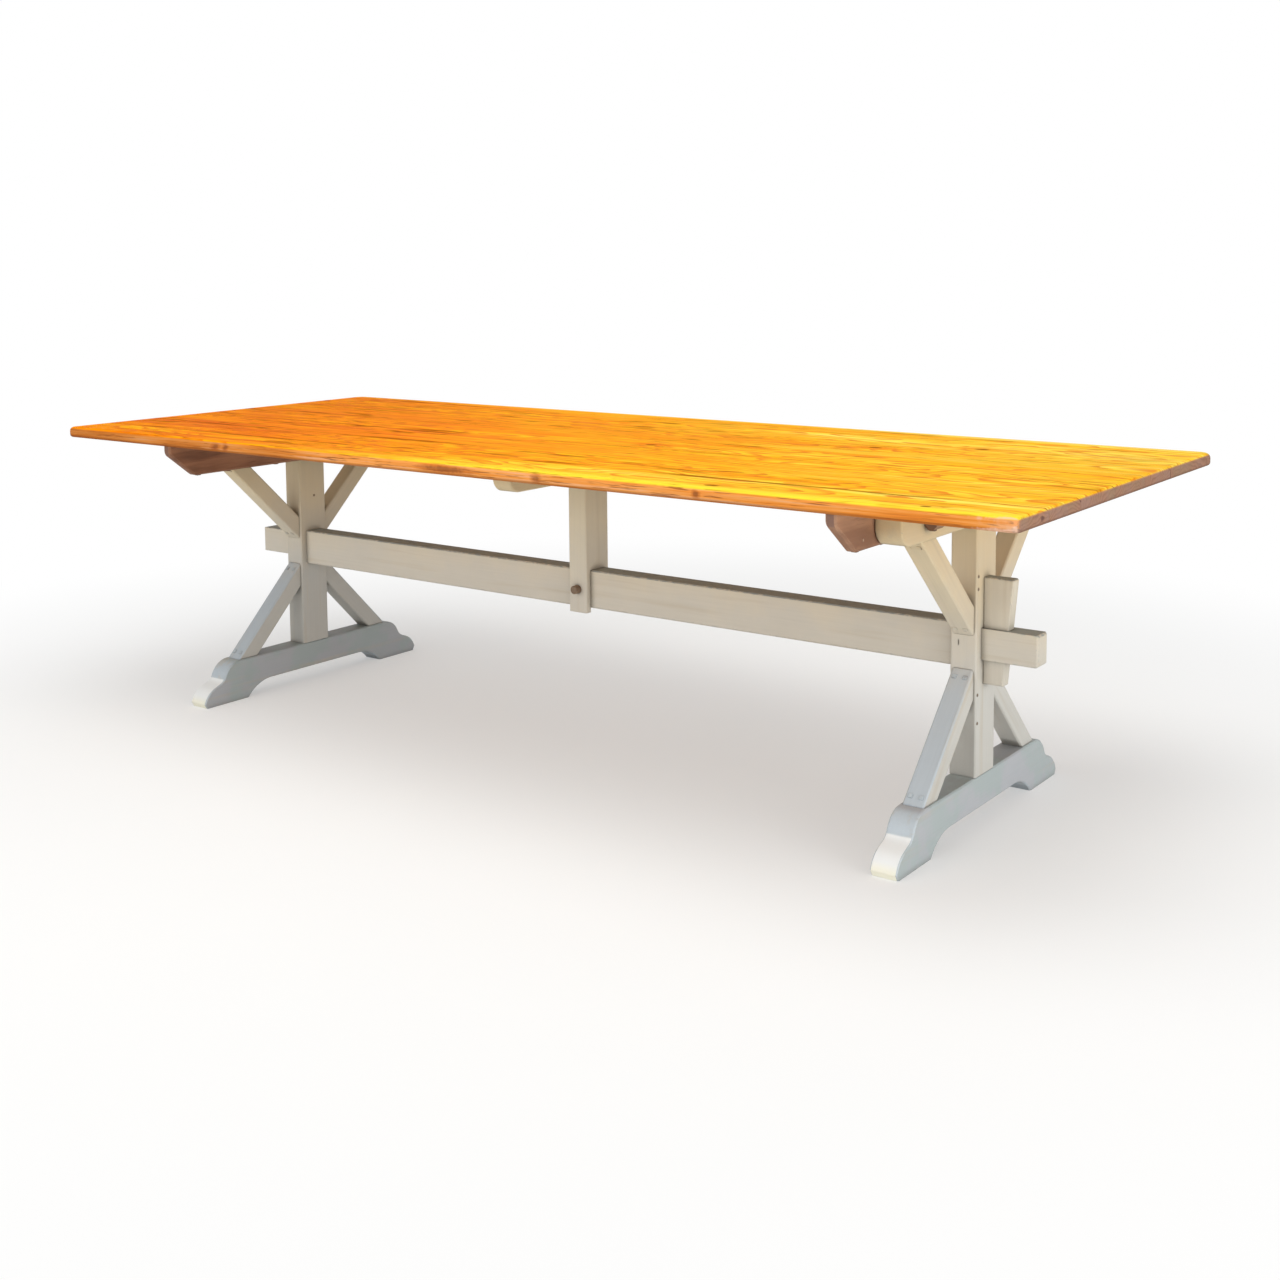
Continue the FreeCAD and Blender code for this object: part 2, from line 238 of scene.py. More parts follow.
class ShaderBench(NodeBench):
    """One material's node tree, with the point and the facing of the surface and a short call for each pattern."""

    def __init__(self, name: str) -> None:
        """Starts a material with a plain surface shader.

        Args:
            name: Name of the material.
        """
        self.material = bpy.data.materials.new(name)
        self.material.use_nodes = True
        super().__init__(self.material.node_tree)
        self.shader = self.add("BsdfPrincipled", {})
        self.output = self.add("OutputMaterial", {"Surface": self.shader.outputs["BSDF"]})
        coordinates = self.add("TexCoord", {}).outputs
        self.place = coordinates["Object"]
        self.x, self.y, self.z = self.split(self.place)
        self.nx, self.ny, self.nz = self.split(coordinates["Normal"])

    def split(self, vector: Socket) -> list[Pattern]:
        """The three parts of a vector."""
        return [Pattern(self, part) for part in self.add("SeparateXYZ", {0: vector}).outputs]

    def leaned(self, angle: float) -> Socket:
        """The place turned about the table's length, so that the grain of a timber that leans runs along Y."""
        turn = {"Vector": self.place, "Angle": -angle}
        return self.add("VectorRotate", turn, rotation_type="X_AXIS").outputs[0] if angle else self.place

    def noise(self, place: Socket, scale: Triple, shift: float, detail: float, roughness: float = 0.5) -> Pattern:
        """Soft noise from 0 to 1, mostly between 0.3 and 0.7.

        Args:
            place: The points.
            scale: Pattern repeats per metre on the three axes.
            shift: How far the pattern is shifted, in repeats, so that no two timbers match.
            detail: Number of finer layers.
            roughness: Strength of the finer layers.

        Returns:
            The noise.
        """
        shifts = tuple(shift * share for share in SHIFT_SHARES)
        drawn = self.add("Mapping", {"Vector": place, "Scale": scale, "Location": shifts}).outputs[0]
        layers = {"Vector": drawn, "Scale": 1.0, "Detail": detail, "Roughness": roughness}
        return Pattern(self, self.add("TexNoise", layers).outputs[0])

    def mix(self, share: Number, first: Tint, second: Tint) -> Socket:
        """The first colour with a share of the second on top."""
        return self.add("Mix", {0: share, 6: first, 7: second}, data_type="RGBA").outputs[2]

    def ramp(self, value: Number, stops: Stops) -> Socket:
        """Runs through some colours as a value rises.

        Args:
            value: What is measured.
            stops: The colours, each with the value where it shows alone.

        Returns:
            The colour.
        """
        node = self.add("ValToRGB", {0: value})
        colours = node.color_ramp.elements
        while len(colours) < len(stops):
            colours.new(0.5)
        for element, (where, colour) in zip(colours, stops):
            element.position = where
            element.color = colour
        return node.outputs[0]

    def shade(self, colour: Tint, level: Number) -> Socket:
        """A colour made darker or lighter by a factor."""
        plain = colour if isinstance(colour, Socket) else colour[:3]
        return self.add("VectorMath", {0: plain, "Scale": level}, operation="SCALE").outputs[0]

    def rounded(self, radius: float) -> Socket:
        """The surface's direction with its arrises softened to a radius."""
        return self.add("Bevel", {"Radius": radius}, samples=EDGE_SAMPLES).outputs[0]

    def arris(self, radius: float) -> Pattern:
        """Rises towards 1 on the arrises.

        Args:
            radius: How far from an arris the rise begins.

        Returns:
            The rise.
        """
        flat = self.add("NewGeometry", {}).outputs["Normal"]
        turn = self.add("VectorMath", {0: self.rounded(radius), 1: flat}, operation="DOT_PRODUCT")
        return Pattern(self, turn.outputs["Value"]).step(0.995, 0.86)

    def corner(self, reach: float) -> Pattern:
        """Rises towards 1 in the corners where timbers meet: painted shade where little light reaches, and soiling
        that gathers there.
        """
        open_air = self.add("AmbientOcclusion", {"Distance": reach}, samples=EDGE_SAMPLES).outputs["AO"]
        return 1.0 - Pattern(self, open_air)

    def surface(self, colour: Tint, roughness: Number, height: Pattern, skin: Skin) -> bpy.types.Material:
        """Joins the finished patterns to the shader.

        Args:
            colour: The surface colour.
            roughness: The surface roughness.
            height: The pattern of the bumps.
            skin: How the finish meets the light.

        Returns:
            The finished material.
        """
        bumps = {"Strength": 1.0, "Distance": skin.bump, "Height": height, "Normal": self.rounded(skin.rounding)}
        self.wire(self.shader, {"Base Color": colour, "Roughness": roughness, "Specular IOR Level": skin.gloss,
                                "Normal": self.add("Bump", bumps).outputs[0]})
        return self.material


class BoardView(ShaderBench):
    """One board's node tree with the measures and patterns that all its faces share."""

    def __init__(self, name: str, seed: float, low: Vector, high: Vector) -> None:
        """Starts the board's material.

        Args:
            name: Name of the material.
            seed: Shift of the patterns, so that no two boards match.
            low: Lowest corner of the board.
            high: Highest corner of the board.
        """
        super().__init__(name)
        self.seed, self.low, self.high = seed, low, high
        self.fibre = self.figure(9.0, 420.0, 0)
        self.strand = self.figure(6.0, 130.0, 2)
        self.band = self.figure(1.1, 17.0, 3, roughness=0.55)
        self.flame = self.figure(3.0, 52.0, 5)
        self.dash = self.figure(13.0, 330.0, 7, 2.0)
        self.stroke = self.figure(7.0, 115.0, 8, 2.0, 0.55)
        self.smear = self.figure(6.0, 30.0, 19, 2.0, 0.55)
        self.patch = self.figure(1.6, 9.0, 11, 2.0, 0.5)
        self.fleck = self.figure(300.0, 300.0, 0, roughness=0.7)
        self.lump = self.figure(60.0, 60.0, 13)
        self.liveliness = 1.0 - 0.30 * self.x.step(0.1, 1.0)
        # Painted shade: the lowest few millimetres of the edges and end are darkened, where the rounding turns under.
        self.low_shade_band = 0.6 * self.z.step(low.z + 0.009, low.z + 0.003)

    def figure(self, along: float, across: float, shift: float, detail: float = 3.0,
               roughness: float = 0.6) -> Pattern:
        """Noise with its own repeats per metre along and across the board."""
        return self.noise(self.place, (along, across, across), self.seed + shift, detail, roughness)


@dataclass(frozen=True)
class Knot:
    """A knot in a board: its place and radius in metres."""

    x: float
    y: float
    radius: float

    def around(self, view: BoardView, along: float, across: float) -> Pattern:
        """A squared distance that is 1 on an oval round the knot, sized by shares of its radius."""
        return oval(view.x - self.x, along * self.radius, view.y - self.y, across * self.radius)

    def swell(self, view: BoardView) -> Pattern:
        """How far the grain bends round the knot, from 0 to 1."""
        square = self.around(view, 5.0, 2.0)
        return view.calc("DIVIDE", 1.0, 1.0 + square * square)

    def core(self, view: BoardView) -> Pattern:
        """How dark the knot itself is, from 0 to 0.75."""
        square = self.around(view, 1.7, 1.0) + view.lump.centred(0.9)
        return 0.75 * square.step(1.0, 0.25)


@dataclass(frozen=True)
class Streak:
    """A dark, resinous streak along a board: its two ends, its line, its half width and its fade in metres."""

    start: float
    end: float
    y: float
    width: float = 0.008
    fade: float = 0.05

    def mark(self, view: BoardView) -> Pattern:
        """Draws the streak.

        Args:
            view: The board's material.

        Returns:
            How dark the streak is, from 0 to 0.9.
        """
        ends = (view.x.step(self.start - self.fade, self.start + self.fade)
                * view.x.step(self.end + self.fade, self.end - self.fade))
        line = abs(view.y - self.y).step(self.width, 0.25 * self.width)
        return ends * line * (0.3 + 0.6 * view.stroke.step(0.40, 0.60))


@dataclass(frozen=True)
class EndSpot:
    """A dark spot on a board's right end: its place on that face and its radius in metres."""

    y: float
    z: float
    radius: float

    def mark(self, view: BoardView) -> Pattern:
        """How dark the spot is, from 0 to 0.7."""
        square = oval(view.y - self.y, self.radius, view.z - self.z, 0.6 * self.radius) + view.fleck
        return square.step(1.6, 0.5) * view.nx.step(0.3, 0.6) * 0.7


@dataclass(frozen=True)
class EdgeMark:
    """A knot cut through by the top's front edge: its place, half width, depth and half height in metres."""

    x: float
    width: float
    drop: float = 0.014
    height: float = 0.008

    def ring(self, view: BoardView) -> Pattern:
        """An uneven squared distance from the middle of the knot."""
        along = view.x - self.x + view.strand.centred(0.03)
        return oval(along, 1.8 * self.width, view.z + (self.drop - view.high.z), self.height) + view.lump.centred(1.6)


@dataclass(frozen=True)
class VarnishedPine:
    """Pine under an amber varnish, with rings about the pith of the log that the board came from."""

    seed: float
    pith_shift: float
    pith_drop: float
    ring: float = 0.0085
    golden: float = 0.0
    knots: tuple[Knot, ...] = ()
    streaks: tuple[Streak, ...] = ()
    end_spots: tuple[EndSpot, ...] = ()
    end_seam: float = 0.12
    front_edge: bool = False
    back_edge: bool = False
    edge_marks: tuple[EdgeMark, ...] = ()
    skin: Skin = Skin(bump=0.0003, rounding=0.003, gloss=0.003)
    varnish: Stops = ((0.0, srgb(224, 104, 4)), (0.28, srgb(250, 146, 8)), (0.52, srgb(255, 176, 22)),
                      (0.76, srgb(255, 206, 54)), (1.0, srgb(255, 232, 104)))
    late_wood: Colour = srgb(222, 106, 8)
    dark_line: Colour = srgb(112, 52, 14)
    # Painted highlight along the front edge.
    edge_highlight: Colour = srgb(255, 226, 60)
    bruised: Colour = srgb(244, 200, 172)
    edge_wood: Stops = ((0.22, srgb(190, 100, 46)), (0.42, srgb(234, 142, 56)), (0.58, srgb(242, 162, 86)),
                        (0.80, srgb(240, 186, 146)))
    edge_line: Colour = srgb(126, 66, 36)
    edge_handled: Colour = srgb(170, 98, 44)
    # Painted shade for the lowest band of the long edges.
    edge_below_shade: Colour = srgb(128, 72, 42)
    mark_ring: Colour = srgb(176, 92, 46)
    mark_core: Colour = srgb(104, 60, 42)
    end_wood: Colour = srgb(164, 125, 104)
    end_late: Colour = srgb(126, 97, 80)
    end_rosy: Colour = srgb(158, 129, 118)
    end_drab: Colour = srgb(150, 128, 103)
    end_gap: Colour = srgb(62, 46, 36)
    end_spot: Colour = srgb(84, 60, 60)
    # Painted shade for the lowest band of the end.
    end_below_shade: Colour = srgb(110, 84, 70)
    under_wood: Colour = srgb(204, 156, 98)
    under_late: Colour = srgb(170, 116, 62)
    under_drab: Colour = srgb(178, 142, 100)
    under_line: Colour = srgb(98, 68, 42)

    def rings(self, view: BoardView) -> Pattern:
        """Draws the growth rings through the board.

        Args:
            view: The board's material.

        Returns:
            Late wood, from 0 to 1.
        """
        sway = view.figure(0.8, 4.0, 0, 2.0, 0.5)
        twist = view.figure(2.6, 9.0, 9, 2.0, 0.5)
        middle = 0.5 * (view.low.y + view.high.y) + self.pith_shift
        across = view.y - middle + sway.centred(0.22)
        depth = view.z + (self.pith_drop - view.low.z) + twist.centred(0.09)
        radius = view.calc("SQRT", across * across + depth * depth)
        for knot in self.knots:
            radius += 1.6 * knot.radius * knot.swell(view)
        phase = view.calc("FRACT", radius / self.ring)
        return phase.step(0.35, 0.88) * phase.step(1.0, 0.92)

    def lines(self, view: BoardView) -> Pattern:
        """Draws the dark lines: open pores, resin streaks, joints and knots.

        Args:
            view: The board's material.

        Returns:
            How dark the lines are, from 0 to 1.
        """
        pores = view.dash.step(0.57, 0.66) * view.patch.step(0.44, 0.58) * 0.7
        broad = view.stroke.step(0.60, 0.72) * view.band.step(0.64, 0.46) * 0.65
        smear = view.smear.step(0.57, 0.70) * view.band.step(0.66, 0.46) * (0.3 + 0.45 * view.stroke.step(0.38, 0.60))
        dark = (pores | broad | smear) * view.liveliness
        for streak in self.streaks:
            dark |= streak.mark(view)
        edge = view.calc("MINIMUM", view.y - view.low.y, view.high.y - view.y) + view.dash.centred(0.004)
        joint = edge.step(0.0026, 0.0009) * abs(view.ny).step(0.9, 0.5) * (0.35 + 0.5 * view.patch.step(0.42, 0.60))
        if self.front_edge:
            joint *= view.y.step(view.low.y + 0.02, view.low.y + 0.04)
        if self.back_edge:
            joint *= view.y.step(view.high.y - 0.02, view.high.y - 0.04)
        dark |= joint
        for knot in self.knots:
            dark |= knot.core(view)
        return dark

    def face(self, view: BoardView, late: Pattern, dark: Pattern) -> Socket:
        """Colours the top face.

        Args:
            view: The board's material.
            late: Late wood, from 0 to 1.
            dark: The dark lines, from 0 to 1.

        Returns:
            The colour.
        """
        lively = (view.flame.centred(1.05) + view.strand.centred(0.60)) * view.liveliness
        tone = 0.20 + self.golden + 0.54 * view.x.step(-1.2, 1.5) + view.band.centred(0.75) + lively
        # Painted highlight: the varnish is lighter towards the back edge.
        if self.back_edge:
            tone += 0.3 * view.y.step(view.high.y - 0.06, view.high.y)
        colour = view.ramp(tone, self.varnish)
        for knot in self.knots:
            colour = view.mix(0.45 * knot.swell(view), colour, self.late_wood)
        colour = view.mix(late * view.flame.step(0.30, 0.56) * 0.75, colour, self.late_wood)
        # Painted highlight: a yellow band of light along the rounded front edge, stronger to the right.
        if self.front_edge:
            front = view.y + view.flame.centred(0.05) - view.low.y
            lit = front.step(0.055, 0.012) * view.x.step(-0.9, 0.5) * (0.45 + 0.7 * view.strand)
            colour = view.mix(lit, colour, self.edge_highlight)
        colour = view.shade(colour, 0.88 + 0.24 * view.fibre)
        return view.mix(dark, colour, self.dark_line)

    def long_edge(self, view: BoardView) -> Socket:
        """Colours the long edge at the front or the back.

        Args:
            view: The board's material.

        Returns:
            The colour.
        """
        layer = view.noise(view.place, (4.0, 40.0, 190.0), self.seed + 17, 3.0, 0.6)
        colour = view.ramp(layer + view.patch.centred(0.5) + view.strand.centred(0.3), self.edge_wood)
        colour = view.mix(0.7 * view.dash.step(0.56, 0.68), colour, self.edge_line)
        handled = view.x.step(0.5, -0.8) * view.patch.step(0.66, 0.40) * 0.6
        colour = view.mix(handled, colour, self.edge_handled)
        for mark in self.edge_marks:
            ring = mark.ring(view)
            colour = view.mix(0.5 * ring.step(2.6, 0.6), colour, self.mark_ring)
            colour = view.mix(0.5 * ring.step(0.9, 0.1), colour, self.mark_core)
        return view.mix(view.low_shade_band, colour, self.edge_below_shade)

    def end_grain(self, view: BoardView, late: Pattern) -> Socket:
        """Colours the sawn end.

        Args:
            view: The board's material.
            late: Late wood, from 0 to 1.

        Returns:
            The colour.
        """
        colour = view.mix(0.5 * late, self.end_wood, self.end_late)
        colour = view.mix(0.5 * view.band.step(0.45, 0.65), colour, self.end_rosy)
        colour = view.mix(0.5 * view.patch.step(0.45, 0.62), colour, self.end_drab)
        colour = view.shade(colour, 0.80 + 0.40 * view.fleck)
        gap = (view.y - view.low.y).step(0.0030, 0.0010)
        colour = view.mix(self.end_seam * gap, colour, self.end_gap)
        for spot in self.end_spots:
            colour = view.mix(spot.mark(view), colour, self.end_spot)
        return view.mix(view.low_shade_band, colour, self.end_below_shade)

    def bruise(self, view: BoardView, colour: Socket) -> Socket:
        """Knocks the varnish off the right front corner.

        Args:
            view: The board's material.
            colour: The colour before.

        Returns:
            The colour after.
        """
        dx, dy = view.x - view.high.x, view.y - view.low.y
        near = view.calc("SQRT", dx * dx * 0.05 + dy * dy * 2.5)
        near = near + view.lump.centred(0.040) + view.strand.centred(0.030)
        bare = near.step(0.018, 0.004) * view.nx.step(0.9, 0.5) * (0.2 + 0.6 * view.stroke.step(0.42, 0.56))
        return view.mix(bare, colour, self.bruised)

    def make(self, name: str, low: Vector, high: Vector) -> bpy.types.Material:
        """Makes the board's material.

        Args:
            name: Name of the material.
            low: Lowest corner of the board.
            high: Highest corner of the board.

        Returns:
            The material.
        """
        view = BoardView(name, self.seed, low, high)
        late = self.rings(view)
        dark = self.lines(view)
        colour = self.face(view, late, dark)
        below = view.z.step(low.z + 0.011, low.z + 0.008)
        edge = abs(view.nz).step(0.87, 0.47) * view.z.step(high.z - 0.0012, high.z - 0.005)
        edge |= below * abs(view.ny).step(0.02, 0.20)
        colour = view.mix(edge, colour, self.long_edge(view))
        end = abs(view.nx).step(0.55, 0.9) | below * abs(view.nx).step(0.02, 0.20)
        colour = view.mix(end, colour, self.end_grain(view, late))
        if self.front_edge:
            colour = self.bruise(view, colour)
        under = view.mix(0.5 * late, self.under_wood, self.under_late)
        under = view.mix(view.patch.step(0.46, 0.64), under, self.under_drab)
        under = view.mix(0.7 * dark, under, self.under_line)
        under = view.shade(under, 0.84 + 0.32 * view.fibre)
        colour = view.mix(view.nz.step(-0.93, -0.995), colour, under)
        roughness = 0.46 - 0.05 * late + 0.14 * view.band + 0.3 * dark + 0.3 * end
        height = 0.35 * late + 0.4 * view.fibre - 1.6 * dark + 0.8 * view.band
        return view.surface(colour, roughness, height, self.skin)


@dataclass(frozen=True)
class Split:
    """A drying crack in a painted timber: the middle of it and its half length in metres."""

    x: float
    y: float
    z: float
    length: float

    def mark(self, bench: ShaderBench, mottle: Pattern) -> Pattern:
        """Draws the crack.

        Args:
            bench: The timber's material.
            mottle: Soft noise.

        Returns:
            The crack, from 0 to 1.
        """
        along = abs(bench.z - self.z).step(self.length, 0.3 * self.length)
        across = abs(bench.x + mottle.centred(0.01) - self.x).step(0.0024, 0.0008)
        return along * across * abs(bench.y - self.y).step(0.01, 0.005)


class PaintedSkyLight(Enum):
    """Where the paint takes a painted blue-grey sky light."""

    NOWHERE = "nowhere"
    UPWARD = "on the faces that look up"
    ALL_OVER = "all over"


@dataclass(frozen=True)
class WornPaint:
    """Old off-white paint on wood: brush marks, rubbed arrises, soiling and painted shade in the corners and on the
    ledges, and painted light.
    """

    grain: Grain
    seed: float
    wear: float = 0.30
    grime_shade_share: float = 0.7
    ledge_dust_and_shade: float = 0.0
    sky_light: PaintedSkyLight = PaintedSkyLight.NOWHERE
    bare_top: bool = False
    # Painted sunlight on the front toes.
    sunlit_toes: bool = False
    splits: tuple[Split, ...] = ()
    # Painted shade over the whole piece, deepest low down.
    painted_shade: float = 0.0
    low_front_grime_and_shade: float = 0.0
    skin: Skin = Skin(bump=0.0004, rounding=0.004, gloss=0.3)
    worn_arris: float = 0.007
    grime_shade_reach: float = 0.022
    ledge_ends: tuple[float, float] = (0.27, 0.24)
    sunlit_toe_line: tuple[float, float] = (-0.3335, -0.3365)
    neutral: Colour = srgb(209, 203, 190)
    # Painted warm bounce light and painted shade towards the top's lower face.
    warm_bounce: Colour = srgb(219, 204, 174)
    shade_under_top: Colour = srgb(214, 193, 152)
    # Painted blue-grey sky light, for the low parts and the faces that look up.
    sky_grey: Colour = srgb(180, 191, 192)
    sky_lilac: Colour = srgb(186, 190, 195)
    sky_blue: Colour = srgb(200, 211, 219)
    thin: Colour = srgb(190, 176, 150)
    primer: Colour = srgb(170, 175, 172)
    bare: Colour = srgb(138, 143, 140)
    dark_grime_shade: Colour = srgb(104, 98, 88)
    # Painted sunlight for the front toes: near-white, warmer near the floor.
    painted_sunlight: Colour = srgb(252, 255, 255)
    sunlight_near_floor: Colour = srgb(254, 252, 234)

    def coat(self, bench: ShaderBench, rise: Pattern, mottle: Pattern) -> Socket:
        """Colours the paint: neutral lower down, painted warm bounce light and shade under the top, painted blue-grey
        sky light low down.

        Args:
            bench: The material being made.
            rise: Height above the floor, made uneven.
            mottle: Soft noise.

        Returns:
            The colour.
        """
        colour = bench.ramp(rise, ((0.38, self.neutral), (0.56, self.warm_bounce), (0.71, self.shade_under_top)))
        # Painted shade: the paint is darkened, most of all low down, where the left trestle stands in shade under the
        # table.
        if self.painted_shade:
            shade_weight = 0.35 + 0.65 * rise.step(0.60, 0.15)
            colour = bench.shade(colour, 1.0 - self.painted_shade * shade_weight)
        # Painted sky light: a blue-grey cast low down, on the feet's front faces and on faces that look up.
        if self.sky_light is PaintedSkyLight.NOWHERE:
            return colour
        if self.sky_light is PaintedSkyLight.ALL_OVER:
            sky_lit = bench.mix(mottle.step(0.44, 0.58), self.sky_grey, self.sky_lilac)
            sky_lit = bench.mix(bench.ny.step(-0.15, -0.5), sky_lit, self.sky_blue)
            share = rise.step(0.36, 0.27)
        else:
            sky_lit = self.sky_blue
            share = rise.step(0.42, 0.28) * (0.30 + 0.70 * bench.nz.step(0.25, 0.55))
        return bench.mix(share, colour, bench.shade(sky_lit, 1.0 - self.painted_shade))

    def make(self, name: str) -> bpy.types.Material:
        """Makes the paint's material.

        Args:
            name: Name of the material.

        Returns:
            The material.
        """
        bench = ShaderBench(name)
        lie = bench.leaned(self.grain.lean)
        brush = bench.noise(lie, self.grain.stretch(5.0, 230.0), self.seed, 3.0, 0.6)
        strake = bench.noise(lie, self.grain.stretch(2.2, 42.0), self.seed + 2, 3.0, 0.55)
        mottle = bench.noise(bench.place, (8.0, 8.0, 8.0), self.seed + 4, 4.0, 0.6)
        speck = bench.noise(lie, self.grain.stretch(70.0, 170.0), self.seed + 6, 4.0, 0.62)
        rise = bench.z + mottle.centred(0.16)

        colour = self.coat(bench, rise, mottle)
        colour = bench.mix(0.35 * strake.step(0.54, 0.74), colour, self.thin)
        colour = bench.shade(colour, 0.89 + 0.10 * brush + 0.12 * mottle)

        rubbed = self.wear * bench.arris(self.worn_arris)
        chips = (rubbed + speck.centred(1.5)).step(0.50, 0.66) | speck.step(0.740, 0.770)
        if self.bare_top:
            chips |= (bench.nz + speck.centred(0.9) + strake.centred(0.5)).step(0.52, 0.80)
        colour = bench.mix(chips, colour, bench.mix(brush, self.primer, self.bare))

        # Soiling and painted shade: darker in the corners where timbers meet and little light reaches.
        corner_grime_shade = self.grime_shade_share * (bench.corner(self.grime_shade_reach) + 0.25 * mottle).step(0.22, 0.75)
        # Dusty soiling and painted shade on the foot's top between the braces.
        dusty_shaded_ledge = bench.nz.step(0.6, 0.9) * (mottle + 0.4 * strake).step(0.40, 0.72) * abs(bench.y).step(*self.ledge_ends)
        # Painted shade: faces that look down are darkened.
        grime_shade_mask = corner_grime_shade | self.ledge_dust_and_shade * dusty_shaded_ledge | 0.45 * bench.nz.step(-0.8, -0.95)
        # Soiling and painted shade on the front faces low down, below the stretcher.
        if self.low_front_grime_and_shade:
            grime_shade_mask |= rise.step(0.30, 0.16) * bench.ny.step(-0.6, -0.9) * self.low_front_grime_and_shade
        for split in self.splits:
            grime_shade_mask |= split.mark(bench, mottle)
        colour = bench.mix(grime_shade_mask, colour, self.dark_grime_shade)
        # Painted sunlight: the front toes are painted near-white from the cove forward, as a patch of sun on them.
        if self.sunlit_toes:
            reach = bench.y + mottle.centred(0.004)
            sun_patch = reach.step(*self.sunlit_toe_line) * abs(bench.nx).step(0.75, 0.45) * bench.nz.step(-0.9, -0.7)
            sunlit_paint = bench.mix(bench.z.step(0.034, 0.012), self.painted_sunlight, self.sunlight_near_floor)
            colour = bench.mix(sun_patch, colour, bench.shade(sunlit_paint, 1.0 - 0.7 * self.painted_shade))

        roughness = 0.50 + 0.16 * mottle + 0.22 * chips + 0.1 * corner_grime_shade
        height = 0.30 * brush + 0.9 * strake + 1.4 * mottle - 1.1 * chips
        return bench.surface(colour, roughness, height, self.skin)


@dataclass(frozen=True)
class BrownWood:
    """Old brown wood, bare or thinly oiled, with its grain across the table."""

    seed: float
    brown: Colour
    dark: Colour
    light: Colour = srgb(192, 152, 122)
    ends: Colour = srgb(138, 104, 86)
    skin: Skin = Skin(bump=0.0004, rounding=0.003, gloss=0.3)
    worn_arris: float = 0.006

    def make(self, name: str) -> bpy.types.Material:
        """Makes the wood's material.

        Args:
            name: Name of the material.

        Returns:
            The material.
        """
        bench = ShaderBench(name)
        sway = bench.noise(bench.place, Grain.DEPTH.stretch(3.0, 26.0), self.seed, 3.0, 0.55)
        fibre = bench.noise(bench.place, Grain.DEPTH.stretch(16.0, 380.0), self.seed + 3, 3.0, 0.65)
        blotch = bench.noise(bench.place, (11.0, 11.0, 11.0), self.seed + 5, 3.0)
        colour = bench.mix(sway.step(0.36, 0.64), self.dark, self.brown)
        colour = bench.mix(0.7 * fibre.step(0.58, 0.72), colour, self.dark)
        rubbed = bench.arris(self.worn_arris) * blotch.step(0.40, 0.62) * 0.6
        colour = bench.mix(rubbed, colour, self.light)
        colour = bench.shade(colour, 0.82 + 0.36 * blotch)
        sawn = bench.mix(fibre, self.ends, self.dark)
        colour = bench.mix(abs(bench.ny).step(0.6, 0.9), colour, sawn)
        return bench.surface(colour, 0.52 + 0.2 * fibre + 0.1 * blotch, 0.6 * fibre + 0.8 * sway, self.skin)


@dataclass(frozen=True)
class CutIron:
    """Cut iron, dark with rust, or painted over with the wood that it holds."""

    seed: float
    painted: bool = False
    painted_shade: float = 0.0
    skin: Skin = Skin(bump=0.0004, rounding=0.001, gloss=0.4)
    worn_arris: float = 0.002
    iron: Colour = srgb(84, 72, 64)
    rust: Colour = srgb(118, 74, 46)
    # The nail paint follows the trestle paint's bands: painted blue-grey sky light low down, painted warm bounce light
    # and shade higher up.
    paint: Stops = ((0.33, srgb(196, 207, 214)), (0.40, srgb(206, 201, 189)), (0.52, srgb(214, 201, 173)),
                    (0.71, srgb(212, 192, 152)))

    def make(self, name: str) -> bpy.types.Material:
        """Makes the iron's material.

        Args:
            name: Name of the material.

        Returns:
            The material.
        """
        bench = ShaderBench(name)
        scale = bench.noise(bench.place, (160.0, 160.0, 160.0), self.seed, 4.0, 0.65)
        bloom = bench.noise(bench.place, (45.0, 45.0, 45.0), self.seed + 2, 3.0)
        colour = bench.mix(scale.step(0.44, 0.62), self.iron, self.rust)
        if self.painted:
            left = (bloom - 0.1 * bench.arris(self.worn_arris)).step(0.20, 0.36)
            paint = bench.ramp(bench.z, self.paint)
            # The nail paint takes its trestle's painted shade.
            colour = bench.mix(left, colour, bench.shade(paint, 1.0 - 1.3 * self.painted_shade))
        colour = bench.shade(colour, 0.8 + 0.4 * bloom)
        return bench.surface(colour, 0.5 + 0.3 * scale, scale, self.skin)


def dress(node: str, material: bpy.types.Material) -> None:
    """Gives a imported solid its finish.

    Args:
        node: Name of the solid.
        material: The finish.
    """
    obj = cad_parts[node]
    if not obj.data.materials:
        obj.data.materials.append(material)
    for slot in obj.material_slots:
        slot.material = material
    log.info("%s: %s", node, material.name)


